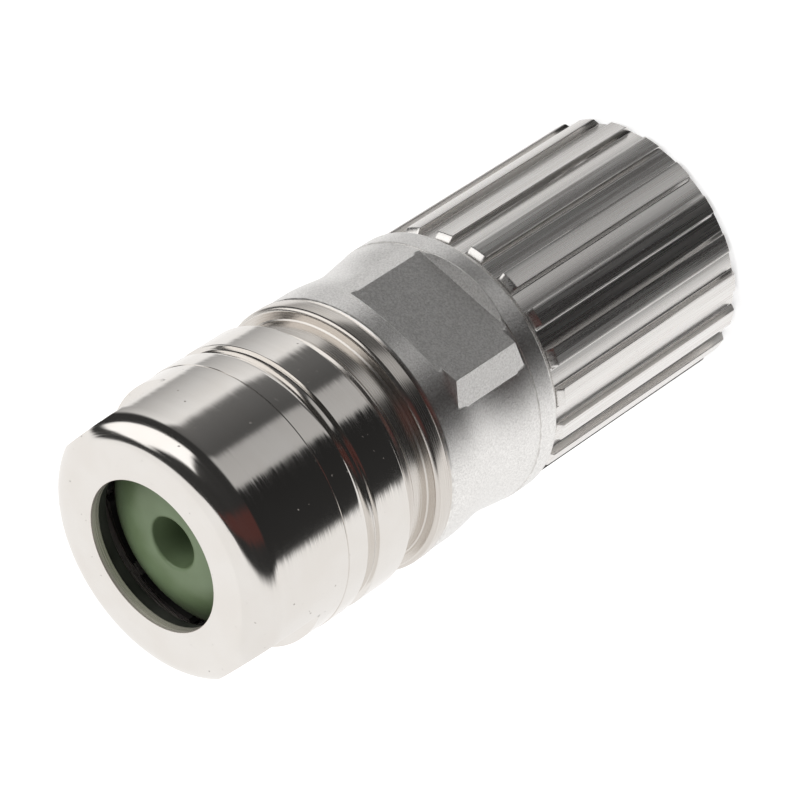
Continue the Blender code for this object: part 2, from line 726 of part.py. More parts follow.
def socket_contacts():
    """Socket contacts: a bored front, a collar held between the insulators, a solder cup."""
    foot = carrier_foot_z + CONTACT_RECESS
    tail = rear_insulator_top_z + CONTACT_TAIL
    collar_top = carrier_flange_top_z
    collar_foot = collar_top - CONTACT_COLLAR_HEIGHT
    profile = [
        (0.0, tail - CONTACT_CUP_DEPTH),
        (CONTACT_CUP_RADIUS, tail - CONTACT_CUP_DEPTH),
        (CONTACT_CUP_RADIUS, tail),
        (CONTACT_RADIUS, tail),
        (CONTACT_RADIUS, collar_top),
        (CONTACT_COLLAR_RADIUS, collar_top),
        (CONTACT_COLLAR_RADIUS, collar_foot),
        (CONTACT_RADIUS, collar_foot),
        (CONTACT_RADIUS, foot),
        (CONTACT_BORE_RADIUS, foot),
        (CONTACT_BORE_RADIUS, foot + CONTACT_BORE_DEPTH),
        (0.0, foot + CONTACT_BORE_DEPTH),
    ]
    contacts = []
    for i, (x, y) in enumerate(contact_places()):
        name = "socket_contact_%02d" % (i + 1)
        contact = turned(name, profile, CONTACT_STEPS, parts, gold, closed=False)
        contact.location = (x * MM, y * MM, 0.0)
        contacts.append(contact)
    return contacts


clear_scene()
parts = new_collection("circular cable socket")
cutters = new_collection("cutters")

nickel = make_material("bright nickel", (0.66, 0.65, 0.63), 0.18, 1.0)
cast_nickel = make_material("blasted nickel", (0.42, 0.42, 0.41), 0.5, 1.0)
green_rubber = make_material("green rubber", (0.16, 0.24, 0.15), 0.6, 0.0)
black_rubber = make_material("black rubber", (0.02, 0.02, 0.02), 0.6, 0.0)
black_plastic = make_material("black plastic", (0.03, 0.03, 0.03), 0.5, 0.0)
white_plastic = make_material("natural plastic", (0.75, 0.73, 0.68), 0.5, 0.0)
spring_steel = make_material("spring steel", (0.45, 0.45, 0.45), 0.3, 1.0)
gold = make_material("gold plating", (0.83, 0.62, 0.25), 0.25, 1.0)

housing()
coupling_nut()
snap_ring()
o_ring()
gland_nut()
slip_ring()
cable_seal()
clamping_cage()
plain_ring("shield_ring", SHIELD_RING_BORE, insert_radius, shield_ring_foot_z, shield_ring_top_z,
           nickel)
distance_shells()
rear_insulator()
contact_carrier()
socket_contacts()
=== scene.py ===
# %% [markdown]
# # A circular cable socket in bright and blasted nickel
#
# The real object is the free half of a round industrial connector.
# Its coupling nut screws onto a receptacle, its cast body takes a wrench,
# and its gland nut squeezes a rubber seal round the cable.
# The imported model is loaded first. It is the fixed frame that every detailed piece keeps to.

# %% Load the fixed frame
import math

import bmesh
import bpy
from mathutils import Matrix, Vector


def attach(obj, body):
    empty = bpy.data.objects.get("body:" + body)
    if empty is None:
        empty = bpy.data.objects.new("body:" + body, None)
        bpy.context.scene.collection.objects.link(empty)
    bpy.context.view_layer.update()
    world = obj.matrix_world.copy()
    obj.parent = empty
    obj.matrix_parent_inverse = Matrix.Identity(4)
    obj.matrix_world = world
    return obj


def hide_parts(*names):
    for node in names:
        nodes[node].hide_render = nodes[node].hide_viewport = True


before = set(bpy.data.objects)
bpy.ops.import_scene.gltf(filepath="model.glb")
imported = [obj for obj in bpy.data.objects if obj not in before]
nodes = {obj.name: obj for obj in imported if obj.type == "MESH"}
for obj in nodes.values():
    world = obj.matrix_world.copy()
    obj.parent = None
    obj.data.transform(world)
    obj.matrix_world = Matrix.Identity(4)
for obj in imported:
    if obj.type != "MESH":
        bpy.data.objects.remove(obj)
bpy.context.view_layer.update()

MM = 0.001

# %% [markdown]
# ## The camera
#
# A product picture of a small part is taken from far away with a long lens,
# so parallel edges stay nearly parallel. The camera looks at the middle of the axis
# from the cable end, and it is rolled so that the socket lies across the picture.
# A camera could be aimed with a Track To constraint. Its matrix is set here instead,
# because a constraint can't hold the roll.

# %% Aim the camera
CAMERA_AZIMUTH = -113.8
CAMERA_ELEVATION = 36.55
CAMERA_DISTANCE = 0.42538
CAMERA_TARGET = Vector((-0.000405, 0.000178, 0.033098))
CAMERA_UP = Vector((0.63340, -0.63623, -0.44046))
LENS = 211.05


def direction(azimuth, elevation):
    """Unit vector at an azimuth from +X and an elevation, both in degrees."""
    a, e = math.radians(azimuth), math.radians(elevation)
    return Vector((math.cos(e) * math.cos(a), math.cos(e) * math.sin(a), math.sin(e)))


towards_camera = direction(CAMERA_AZIMUTH, CAMERA_ELEVATION)
camera_right = CAMERA_UP.cross(towards_camera).normalized()
camera_up = towards_camera.cross(camera_right)
camera_data = bpy.data.cameras.new("picture camera")
camera_data.lens = LENS
camera_data.clip_start = 0.01
camera = bpy.data.objects.new("picture_camera", camera_data)
bpy.context.scene.collection.objects.link(camera)
turn = Matrix((camera_right, camera_up, towards_camera)).transposed().to_4x4()
camera.matrix_world = Matrix.Translation(CAMERA_TARGET + towards_camera * CAMERA_DISTANCE) @ turn
bpy.context.scene.camera = camera
print("camera at", [round(v, 4) for v in camera.matrix_world.translation])

# %% [markdown]
# ## Turning an outline
#
# Almost every piece of a connector comes off a lathe. The same is done here:
# a few points give the outline, and the spin operator turns it about the axis.
# The Screw modifier would do it too, but a spun mesh can be cut and bevelled at once.

# %% Helpers for turned pieces
FULL_STEPS = 240


def spun(outline, steps=FULL_STEPS, closed=True):
    """A bmesh turned from (radius, height) points in millimetres."""
    bm = bmesh.new()
    points = [bm.verts.new((radius * MM, 0.0, height * MM)) for radius, height in outline]
    edges = [bm.edges.new(pair) for pair in zip(points, points[1:])]
    if closed:
        edges.append(bm.edges.new((points[-1], points[0])))
    bmesh.ops.spin(
        bm, geom=points + edges, cent=(0.0, 0.0, 0.0), axis=(0.0, 0.0, 1.0),
        dvec=(0.0, 0.0, 0.0), angle=math.tau, steps=steps, use_merge=True,
    )
    bmesh.ops.remove_doubles(bm, verts=bm.verts, dist=MM / 1000)
    bmesh.ops.recalc_face_normals(bm, faces=bm.faces)
    return bm


def arc(centre, radius, start, end, count):
    """Outline points on an arc about a (radius, height) centre, angles in degrees."""
    step = math.radians(end - start) / (count - 1)
    angles = [math.radians(start) + i * step for i in range(count)]
    return [(centre[0] + radius * math.cos(a), centre[1] + radius * math.sin(a)) for a in angles]


def soften(bm, width, segments=2, sharper_than=25.0, where=None, clamp=True):
    """Bevel the sharp edges and give back the new faces."""
    edges = [
        edge for edge in bm.edges
        if len(edge.link_faces) == 2
        and edge.calc_face_angle(0.0) > math.radians(sharper_than)
        and (where is None or where(edge))
    ]
    made = bmesh.ops.bevel(
        bm, geom=edges, offset=width * MM, offset_type="OFFSET", segments=segments,
        profile=0.5, affect="EDGES", material=-1, clamp_overlap=clamp,
    )
    return made["faces"]


# %% [markdown]
# A bevelled edge only looks right when the broad faces beside it keep their own normals.
# Weighted normals do that, and they are applied to the mesh,
# so each finished object stands at the origin with nothing left to compute.

# %% Helpers that finish a piece
def as_object(bm, name):
    """Move a bmesh into a new object in the scene."""
    mesh = bpy.data.meshes.new(name)
    bm.to_mesh(mesh)
    bm.free()
    piece = bpy.data.objects.new(name, mesh)
    bpy.context.scene.collection.objects.link(piece)
    return piece


def apply_modifiers(piece):
    """Replace the mesh by what its modifiers make of it."""
    view = bpy.context.evaluated_depsgraph_get()
    view.update()
    old = piece.data
    made = bpy.data.meshes.new_from_object(piece.evaluated_get(view), depsgraph=view)
    piece.modifiers.clear()
    piece.data = made
    made.name = old.name
    bpy.data.meshes.remove(old)


def finished(bm, name, body, stands_for=(), split=40.0):
    """Smooth a piece, weigh its normals, let it ride on its body and hide the parts it stands for."""
    piece = as_object(bm, name)
    piece.data.shade_smooth()
    piece.data.set_sharp_from_angle(angle=math.radians(split))
    weigh = piece.modifiers.new("weigh", "WEIGHTED_NORMAL")
    weigh.keep_sharp = True
    apply_modifiers(piece)
    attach(piece, body)
    if stands_for:
        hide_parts(*stands_for)
    print(name, "faces:", len(piece.data.polygons))
    return piece


# %% [markdown]
# ## Cutting with solids
#
# A wrench flat is milled, and a milled face is a solid taken away.
# The Boolean modifier does the same with a cutter that is thrown away afterwards.

# %% Helpers for Booleans
def joined_with(bm, name, steps):
    """Apply a list of (operation, cutter bmesh) to a bmesh and give back the result."""
    piece = as_object(bm, name)
    cutters = []
    for i, (operation, tool) in enumerate(steps):
        cutter = as_object(tool, "%s_cutter_%d" % (name, i + 1))
        modifier = piece.modifiers.new(operation.lower(), "BOOLEAN")
        modifier.operation = operation
        modifier.object = cutter
        modifier.solver = "EXACT"
        cutters.append(cutter)
    apply_modifiers(piece)
    result = bmesh.new()
    result.from_mesh(piece.data)
    for spent in cutters + [piece]:
        mesh = spent.data
        bpy.data.objects.remove(spent)
        bpy.data.meshes.remove(mesh)
    bmesh.ops.remove_doubles(result, verts=result.verts, dist=MM / 1000)
    return result


def turned_about_axis(bm, degrees):
    """Turn a bmesh about Z."""
    bmesh.ops.rotate(bm, verts=bm.verts, matrix=Matrix.Rotation(math.radians(degrees), 3, "Z"))
    return bm


# %% [markdown]
# ## Node helpers for the finishes
#
# Each finish is one Principled shader. Its grain comes from noise on Object coordinates,
# so it is fixed to the metal and has its true size: a scale of 5000 is a grain of 0.2 mm.

# %% Helpers for materials
def new_finish(name, colour, metallic, roughness):
    """A material with its plain values set on the shader's own sockets."""
    material = bpy.data.materials.new(name)
    material.use_nodes = True
    shader = material.node_tree.nodes["Principled BSDF"]
    shader.inputs["Base Color"].default_value = (*colour, 1.0)
    shader.inputs["Metallic"].default_value = metallic
    shader.inputs["Roughness"].default_value = roughness
    return material, material.node_tree, shader


def calculate(tree, operation, *values):
    """A Math node from numbers and outputs."""
    node = tree.nodes.new("ShaderNodeMath")
    node.operation = operation
    for socket, value in zip(node.inputs, values):
        if isinstance(value, (int, float)):
            socket.default_value = value
        else:
            tree.links.new(value, socket)
    return node.outputs[0]


def noise(tree, vector, scale, detail=2.0, roughness=0.5):
    """Noise on a vector output."""
    node = tree.nodes.new("ShaderNodeTexNoise")
    node.inputs["Scale"].default_value = scale
    node.inputs["Detail"].default_value = detail
    node.inputs["Roughness"].default_value = roughness
    tree.links.new(vector, node.inputs["Vector"])
    return node.outputs[0]


def object_place(tree):
    """The point on the piece, in metres."""
    return tree.nodes.new("ShaderNodeTexCoord").outputs["Object"]


def lathe_place(tree, around, across):
    """Object coordinates stretched along the lathe's cut, for turning marks."""
    split = tree.nodes.new("ShaderNodeSeparateXYZ")
    tree.links.new(object_place(tree), split.inputs[0])
    x, y, z = split.outputs
    radius = calculate(tree, "SQRT", calculate(
        tree, "ADD", calculate(tree, "MULTIPLY", x, x), calculate(tree, "MULTIPLY", y, y)))
    feed = calculate(tree, "MULTIPLY", calculate(tree, "ADD", z, radius), across)
    join = tree.nodes.new("ShaderNodeCombineXYZ")
    tree.links.new(calculate(tree, "MULTIPLY", x, around), join.inputs[0])
    tree.links.new(calculate(tree, "MULTIPLY", y, around), join.inputs[1])
    tree.links.new(feed, join.inputs[2])
    return join.outputs[0]


def vector_step(tree, operation, first, second=None):
    """A Vector Math node from outputs."""
    node = tree.nodes.new("ShaderNodeVectorMath")
    node.operation = operation
    tree.links.new(first, node.inputs[0])
    if second is not None:
        tree.links.new(second, node.inputs[3 if operation == "SCALE" else 1])
    return node.outputs[0]


def combed_normal(tree, rings, amount):
    """Tilt each turning mark a little along the cut, as a chattering tool does."""
    split = tree.nodes.new("ShaderNodeSeparateXYZ")
    tree.links.new(object_place(tree), split.inputs[0])
    join = tree.nodes.new("ShaderNodeCombineXYZ")
    tree.links.new(calculate(tree, "MULTIPLY", split.outputs[1], -1.0), join.inputs[0])
    tree.links.new(split.outputs[0], join.inputs[1])
    along = tree.nodes.new("ShaderNodeVectorTransform")
    along.vector_type = "VECTOR"
    along.convert_from, along.convert_to = "OBJECT", "WORLD"
    tree.links.new(vector_step(tree, "NORMALIZE", join.outputs[0]), along.inputs[0])
    tilt = calculate(tree, "MULTIPLY", calculate(tree, "SUBTRACT", rings, 0.5), amount)
    shift = vector_step(tree, "SCALE", along.outputs[0], tilt)
    normal = tree.nodes.new("ShaderNodeNewGeometry").outputs["Normal"]
    return vector_step(tree, "NORMALIZE", vector_step(tree, "ADD", normal, shift))


def ranged(tree, value, low, high, from_low=0.0, from_high=1.0):
    """Map a value to a range."""
    node = tree.nodes.new("ShaderNodeMapRange")
    tree.links.new(value, node.inputs["Value"])
    for name, number in (("From Min", from_low), ("From Max", from_high), ("To Min", low), ("To Max", high)):
        node.inputs[name].default_value = number
    return node.outputs[0]


def bumped(tree, shader, height, strength, depth, below=None):
    """Drive the shader's normal by a height, over an earlier bump if there is one."""
    node = tree.nodes.new("ShaderNodeBump")
    node.inputs["Strength"].default_value = strength
    node.inputs["Distance"].default_value = depth * MM
    tree.links.new(height, node.inputs["Height"])
    if below is not None:
        tree.links.new(below, node.inputs["Normal"])
    tree.links.new(node.outputs[0], shader.inputs["Normal"])
    return node.outputs[0]


def two_tone(tree, value, dark, light, low=0.35, high=0.65):
    """A colour between two, by a value."""
    ramp = tree.nodes.new("ShaderNodeValToRGB")
    ramp.color_ramp.elements[0].position = low
    ramp.color_ramp.elements[0].color = (*dark, 1.0)
    ramp.color_ramp.elements[1].position = high
    ramp.color_ramp.elements[1].color = (*light, 1.0)
    tree.links.new(value, ramp.inputs[0])
    return ramp.outputs[0]


# %% [markdown]
# ## Bright nickel
#
# The two nuts are turned brass with bright nickel on them. Nickel is a warm white metal.
# The lathe leaves rings a few hundredths of a millimetre apart under the plating,
# and they comb the edges of each reflection. Here and there the plating has a tiny pit.

# %% Bright nickel
NICKEL = (0.80, 0.775, 0.745)

bright_nickel, tree, shader = new_finish("bright_nickel", NICKEL, 1.0, 0.1)
rings = noise(tree, lathe_place(tree, 70.0, 13000.0), 1.0, 3.0, 0.6)
tree.links.new(ranged(tree, rings, 0.07, 0.17, 0.3, 0.7), shader.inputs["Roughness"])
below = bumped(tree, shader, rings, 0.2, 0.002, combed_normal(tree, rings, 0.09))
pits = ranged(tree, noise(tree, object_place(tree), 1700.0, 2.0, 0.6), 0.0, 1.0, 0.735, 0.77)
bumped(tree, shader, calculate(tree, "SUBTRACT", 1.0, pits), 0.6, 0.03, below)
blush = two_tone(tree, noise(tree, object_place(tree), 260.0, 2.0), (0.78, 0.75, 0.715), NICKEL)
tarnish = tree.nodes.new("ShaderNodeMix")
tarnish.data_type = "RGBA"
tarnish.inputs[7].default_value = (0.36, 0.32, 0.28, 1.0)
tree.links.new(pits, tarnish.inputs["Factor"])
tree.links.new(blush, tarnish.inputs[6])
tree.links.new(tarnish.outputs[2], shader.inputs["Base Color"])

# %% [markdown]
# Inside a bore the nickel is duller, and its colour is painted darker and browner than outside: painted shade for
# the dim inner wall of the lip.

# %% Dull nickel with painted shade for the bores
dull_nickel_painted_shade, tree, shader = new_finish("dull_nickel_painted_shade", (0.62, 0.59, 0.54), 0.6, 0.26)
streaks = noise(tree, lathe_place(tree, 60.0, 5000.0), 1.0, 4.0)
tree.links.new(two_tone(tree, streaks, (0.56, 0.50, 0.46), (0.72, 0.66, 0.62)), shader.inputs["Base Color"])
tree.links.new(ranged(tree, streaks, 0.2, 0.34), shader.inputs["Roughness"])
bumped(tree, shader, streaks, 0.3, 0.006)

# %% [markdown]
# ## Blasted nickel
#
# The body is cast zinc, blasted with fine grit before it is plated.
# The dull grain scatters every reflection. Its edges are rubbed bright.

# %% Blasted nickel
blasted_nickel, tree, shader = new_finish("blasted_nickel", (0.80, 0.79, 0.77), 1.0, 0.3)
grit = noise(tree, object_place(tree), 5600.0, 3.0, 0.7)
tree.links.new(two_tone(tree, grit, (0.72, 0.71, 0.695), (1.0, 0.99, 0.975)), shader.inputs["Base Color"])
tree.links.new(ranged(tree, grit, 0.24, 0.38), shader.inputs["Roughness"])
bumped(tree, shader, grit, 0.75, 0.045)

# %% [markdown]
# The thread and the flange were cut before plating, so they are smooth but not bright.
# The coupling nut is brighter than they are, and its marks run along the ribs.
# Rubbed edges lose their grain and turn bright.

# %% Satin, drawn and rubbed nickel
satin_nickel, tree, shader = new_finish("satin_nickel", (0.72, 0.685, 0.645), 1.0, 0.22)
rings = noise(tree, lathe_place(tree, 70.0, 9000.0), 1.0, 3.0, 0.6)
tree.links.new(two_tone(tree, rings, (0.66, 0.62, 0.58), (0.76, 0.73, 0.69)), shader.inputs["Base Color"])
tree.links.new(ranged(tree, rings, 0.17, 0.3, 0.3, 0.7), shader.inputs["Roughness"])
bumped(tree, shader, rings, 0.25, 0.004)


def drawn_nickel_finish():
    """Bright nickel with its marks along the axis and a few nicks."""
    material, tree, shader = new_finish("drawn_nickel", NICKEL, 1.0, 0.16)
    stretch = tree.nodes.new("ShaderNodeMapping")
    stretch.inputs["Scale"].default_value = (4200.0, 4200.0, 60.0)
    tree.links.new(object_place(tree), stretch.inputs["Vector"])
    marks = noise(tree, stretch.outputs[0], 1.0, 3.0, 0.6)
    tree.links.new(two_tone(tree, marks, (0.76, 0.74, 0.72), (0.92, 0.905, 0.885)), shader.inputs["Base Color"])
    tree.links.new(ranged(tree, marks, 0.22, 0.34, 0.3, 0.7), shader.inputs["Roughness"])
    below = bumped(tree, shader, marks, 0.45, 0.004)
    nicks = calculate(tree, "GREATER_THAN", noise(tree, object_place(tree), 1500.0, 1.0), 0.79)
    bumped(tree, shader, calculate(tree, "SUBTRACT", 1.0, nicks), 0.5, 0.03, below)
    return material


drawn_nickel = drawn_nickel_finish()

rubbed_nickel, tree, shader = new_finish("rubbed_nickel", (0.90, 0.885, 0.86), 1.0, 0.3)
rub = noise(tree, object_place(tree), 1800.0, 3.0)
tree.links.new(two_tone(tree, rub, (0.70, 0.69, 0.67), (0.95, 0.94, 0.92)), shader.inputs["Base Color"])
tree.links.new(ranged(tree, rub, 0.24, 0.38), shader.inputs["Roughness"])
bumped(tree, shader, rub, 0.2, 0.01)

# %% [markdown]
# ## Rubber and plastics
#
# The seal is soft grey-green rubber with a faint bloom on it.
# The slip ring and the insert are black moulded plastic, and the sleeve round the wires
# is natural plastic. All of these are dull, with a fine moulded grain.

# %% Rubber and plastics
def moulded(name, dark, light, roughness, grain):
    """A dull material with two close tones and a fine grain."""
    material, tree, shader = new_finish(name, light, 0.0, roughness)
    bloom = noise(tree, object_place(tree), 420.0, 4.0)
    tree.links.new(two_tone(tree, bloom, dark, light), shader.inputs["Base Color"])
    fine = noise(tree, object_place(tree), grain, 3.0)
    tree.links.new(ranged(tree, fine, roughness - 0.07, roughness + 0.09), shader.inputs["Roughness"])
    bumped(tree, shader, fine, 0.3, 0.02)
    return material


seal_rubber = moulded("seal_rubber", (0.112, 0.155, 0.08), (0.13, 0.178, 0.098), 0.36, 7000.0)
black_rubber = moulded("black_rubber", (0.012, 0.012, 0.012), (0.022, 0.022, 0.021), 0.55, 8000.0)
black_plastic = moulded("black_plastic", (0.018, 0.018, 0.017), (0.034, 0.033, 0.031), 0.42, 6000.0)
natural_plastic = moulded("natural_plastic", (0.62, 0.59, 0.52), (0.74, 0.71, 0.64), 0.46, 5000.0)

# %% [markdown]
# ## Spring steel and gold
#
# The snap ring is wire, so its drawing marks run along it, and the contacts are
# gold on turned pins. Both use the turning marks of the nickel in other colours.

# %% Spring steel and gold
def turned_metal(name, colour, worn, low, high):
    """A turned metal with marks along its cut."""
    material, tree, shader = new_finish(name, colour, 1.0, low)
    marks = noise(tree, lathe_place(tree, 200.0, 7000.0), 1.0, 3.0)
    tree.links.new(two_tone(tree, marks, worn, colour), shader.inputs["Base Color"])
    tree.links.new(ranged(tree, marks, low, high), shader.inputs["Roughness"])
    bumped(tree, shader, marks, 0.3, 0.004)
    return material


spring_steel = turned_metal("spring_steel", (0.46, 0.45, 0.44), (0.36, 0.35, 0.34), 0.24, 0.4)
contact_gold = turned_metal("contact_gold", (0.83, 0.60, 0.25), (0.74, 0.51, 0.20), 0.16, 0.3)

# %% [markdown]
# ## The gland nut
#
# The wide cap at the cable end has a rounded mouth, two wrench flats on its rim,
# a groove that is rounded on one side, and a skirt that is threaded inside.
# Everything but the flats comes off the lathe.

# %% Turn the gland nut
AXIS_LENGTH = 64.8
GLAND_RADIUS = 13.27
GLAND_FOOT = 46.0
MOUTH_FILLET = 2.8
MOUTH_RADIUS = 7.46
LIP = 1.0
GROOVE_TOP = AXIS_LENGTH - 13.1
GROOVE_FOOT = GROOVE_TOP - 1.75
GROOVE_SINK = 0.5

CUT_STEP = 0.07
CUT_STEP_DEPTH = 10.95

gland_outline = [(MOUTH_RADIUS, AXIS_LENGTH)]
gland_outline += arc(
    (GLAND_RADIUS - CUT_STEP - MOUTH_FILLET, AXIS_LENGTH - MOUTH_FILLET), MOUTH_FILLET, 90.0, 0.0, 18)
gland_outline += [
    (GLAND_RADIUS - CUT_STEP, AXIS_LENGTH - CUT_STEP_DEPTH),
    (GLAND_RADIUS, AXIS_LENGTH - CUT_STEP_DEPTH - 0.02),
    (GLAND_RADIUS, GROOVE_TOP),
    (GLAND_RADIUS - 0.12, GROOVE_TOP - 0.35),
    (GLAND_RADIUS - 0.32, GROOVE_TOP - 0.75),
    (GLAND_RADIUS - GROOVE_SINK, GROOVE_TOP - 1.1),
    (GLAND_RADIUS - GROOVE_SINK, GROOVE_FOOT),
    (GLAND_RADIUS, GROOVE_FOOT),
    (GLAND_RADIUS, GLAND_FOOT),
    (12.35, GLAND_FOOT),
    (12.35, 55.3),
    (10.6, 56.2),
    (10.6, 61.5),
    (9.75, 62.4),
    (9.75, AXIS_LENGTH - LIP),
    (MOUTH_RADIUS, AXIS_LENGTH - LIP),
]
gland = spun(gland_outline)


def at_the_mouth(edge):
    """True for the lip's own edges, which are left crisper."""
    return min(vert.co.xy.length for vert in edge.verts) < (MOUTH_RADIUS + 0.2) * MM


def broken_edge(edge):
    """True for every edge but the lip's and the fine cut step's."""
    off_the_step = abs(edge.verts[0].co.z - (AXIS_LENGTH - CUT_STEP_DEPTH) * MM) > 0.2 * MM
    return off_the_step and not at_the_mouth(edge)


soften(gland, 0.12, 2, 30.0, broken_edge)
soften(gland, 0.05, 2, 30.0, at_the_mouth)
print("gland nut rings:", len(gland_outline))

# %% [markdown]
# The flats are cut by pushing the metal that stands past the flat plane back onto it.
# Two bisecting planes first give the cut clean edges, one across the axis and one along it.

# %% Cut the wrench flats
FLAT_DISTANCE = 12.2
FLAT_LENGTH = 8.1
FLAT_TURN = -23.8
FLAT_RUNOUT = 0.12

flat_foot = AXIS_LENGTH - FLAT_LENGTH


def part_above(bm, height):
    """The geometry above a height, for an operator that should leave the rest alone."""
    faces = [face for face in bm.faces if face.calc_center_median().z > height * MM]
    return faces + list({e for f in faces for e in f.edges}) + list({v for f in faces for v in f.verts})


for station in (flat_foot, flat_foot + FLAT_RUNOUT):
    bmesh.ops.bisect_plane(
        gland, geom=part_above(gland, flat_foot - 3.0), dist=MM / 10000,
        plane_co=(0.0, 0.0, station * MM), plane_no=(0.0, 0.0, 1.0),
    )
for side in (0.0, 180.0):
    outward = direction(FLAT_TURN + side, 0.0)
    bmesh.ops.bisect_plane(
        gland, geom=part_above(gland, flat_foot), dist=MM / 10000,
        plane_co=outward * FLAT_DISTANCE * MM, plane_no=outward,
    )
    for vert in gland.verts:
        past = vert.co.dot(outward) - FLAT_DISTANCE * MM
        if past > 0.0 and vert.co.z > (flat_foot + FLAT_RUNOUT / 2) * MM:
            vert.co -= outward * past
bmesh.ops.dissolve_degenerate(gland, dist=MM / 5000, edges=gland.edges)
bmesh.ops.recalc_face_normals(gland, faces=gland.faces)
# Faces in the mouth and faces turned inwards take the dull nickel. Its darker, browner colour is painted shade.
for face in gland.faces:
    middle = face.calc_center_median()
    if middle.xy.length < (MOUTH_RADIUS + 0.01) * MM or middle.xy.dot(face.normal.xy) < 0.0:
        face.material_index = 1
gland_piece = finished(gland, "gland_nut_skin", "gland_nut", ["gland_nut"])
gland_piece.data.materials.append(bright_nickel)
gland_piece.data.materials.append(dull_nickel_painted_shade)

# %% [markdown]
# ## The slip ring and the seal
#
# Under the lip lies a black ring that lets the nut turn without dragging the rubber.
# The seal below it is a thick rubber plug with a bore for the cable. The nut squeezes it,
# so its face bulges round the bore and falls away to a dark gap under the ring.

# %% Turn the slip ring and the seal
slip = spun([(7.95, 63.5), (9.45, 63.5), (9.45, 62.4), (7.95, 62.4)], 144)
soften(slip, 0.12)
slip_piece = finished(slip, "slip_ring_skin", "slip_ring", ["slip_ring"])
slip_piece.data.materials.append(black_plastic)

SEAL_TOP = 62.1
SEAL_FOOT = 53.8
SEAL_RADIUS = 9.2
SEAL_BORE = 2.5
SEAL_BULGE = 0.18
SEAL_FALL = 2.1
BULGE_POINTS = 14

seal_outline = [
    (SEAL_BORE, SEAL_FOOT + 0.3),
    (SEAL_BORE, SEAL_TOP - 0.1),
    (SEAL_BORE + 0.05, SEAL_TOP + 0.05),
    (SEAL_BORE + 0.18, SEAL_TOP + SEAL_BULGE - 0.03),
]
for i in range(BULGE_POINTS + 1):
    share = i / BULGE_POINTS
    seal_outline.append((
        SEAL_BORE + 0.4 + (SEAL_RADIUS - SEAL_BORE - 0.4) * share,
        SEAL_TOP + SEAL_BULGE - SEAL_FALL * share ** 2.6,
    ))
seal_outline += [
    (SEAL_RADIUS, SEAL_FOOT + 0.4),
    (SEAL_RADIUS - 0.4, SEAL_FOOT),
    (SEAL_BORE + 0.3, SEAL_FOOT),
]
seal_piece = finished(spun(seal_outline, 144), "cable_seal_skin", "housing", ["cable_seal"], 60.0)
seal_piece.data.materials.append(seal_rubber)

# %% [markdown]
# ## The housing
#
# The body is a casting: a thread for the gland nut, a flange, a waist that carries
# two wrench pads, a collar, and the sleeve that the coupling nut turns on.
# It is turned like the nuts, and the pads are added and milled by Booleans.

# %% Turn the housing
SHELL_RADIUS = 13.3
BODY_RADIUS = 13.2
THREAD_RADIUS = 12.05
COLLAR_FACE = 26.2
FLANGE_FOOT = 40.5
FLANGE_TOP = 42.4
PAD_FOOT = 28.7
PAD_TOP = 37.7
WAIST_DEPTH = 0.45
WAIST_LENGTH = 9.4
TUBE_TOP = 54.2

waist_middle = (PAD_FOOT + PAD_TOP) / 2
waist = []
for i in range(25):
    share = i / 24
    sink = WAIST_DEPTH * 0.5 * (1.0 - math.cos(share * math.tau))
    waist.append((BODY_RADIUS - sink, waist_middle + WAIST_LENGTH * (0.5 - share)))

housing_outline = [
    (10.8, TUBE_TOP),
    (THREAD_RADIUS - 0.4, TUBE_TOP),
    (THREAD_RADIUS, TUBE_TOP - 0.4),
    (THREAD_RADIUS, FLANGE_TOP + 0.12),
    (THREAD_RADIUS + 0.12, FLANGE_TOP),
]
housing_outline += arc((SHELL_RADIUS - 0.45, FLANGE_TOP - 0.45), 0.45, 90.0, 0.0, 7)
housing_outline += [
    (SHELL_RADIUS, FLANGE_FOOT + 0.25),
    (BODY_RADIUS - 0.25, FLANGE_FOOT),
    (BODY_RADIUS, FLANGE_FOOT - 0.25),
]
housing_outline += waist
housing_outline += [
    (SHELL_RADIUS, COLLAR_FACE + 2.3),
    (SHELL_RADIUS, COLLAR_FACE + 0.25),
    (SHELL_RADIUS - 0.25, COLLAR_FACE),
    (9.95, COLLAR_FACE),
    (9.95, 22.7),
    (9.35, 22.7),
    (9.35, 21.1),
    (9.95, 21.1),
    (9.95, 19.6),
    (9.2, 19.6),
    (9.2, 17.4),
    (9.95, 17.4),
    (9.95, 4.85),
    (9.6, 4.5),
    (9.05, 4.5),
    (8.7, 4.85),
    (8.7, 23.8),
    (9.2, 23.8),
    (9.2, 50.0),
    (10.6, 50.0),
    (10.6, TUBE_TOP - 0.2),
]
housing = spun(housing_outline)

# %% [markdown]
# A pad is a stretch of the body left at full width, with a wing that stands past the round,
# and a flat that is milled across both. The sector is spun from one face,
# the wing is extruded from its outline, and the mill's cutter is a cube with leaning ends.

# %% Helpers that shape a wrench pad
PAD_START = -131.2
PAD_END = -56.8
PAD_RADIUS = 13.15
PAD_ROOT = 10.2
PAD_FLAT = 12.04
WING_REACH = 7.2


def pad_sector():
    """A block of the body's full width, spun from one face."""
    bm = bmesh.new()
    corners = [(PAD_ROOT, PAD_FOOT), (PAD_RADIUS, PAD_FOOT), (PAD_RADIUS, PAD_TOP), (PAD_ROOT, PAD_TOP)]
    face = bm.faces.new([bm.verts.new((r * MM, 0.0, z * MM)) for r, z in corners])
    turned_about_axis(bm, PAD_START)
    bmesh.ops.spin(
        bm, geom=[face] + face.edges[:] + face.verts[:], cent=(0.0, 0.0, 0.0),
        axis=(0.0, 0.0, 1.0), dvec=(0.0, 0.0, 0.0), angle=math.radians(PAD_END - PAD_START), steps=48,
    )
    bmesh.ops.recalc_face_normals(bm, faces=bm.faces)
    return bm


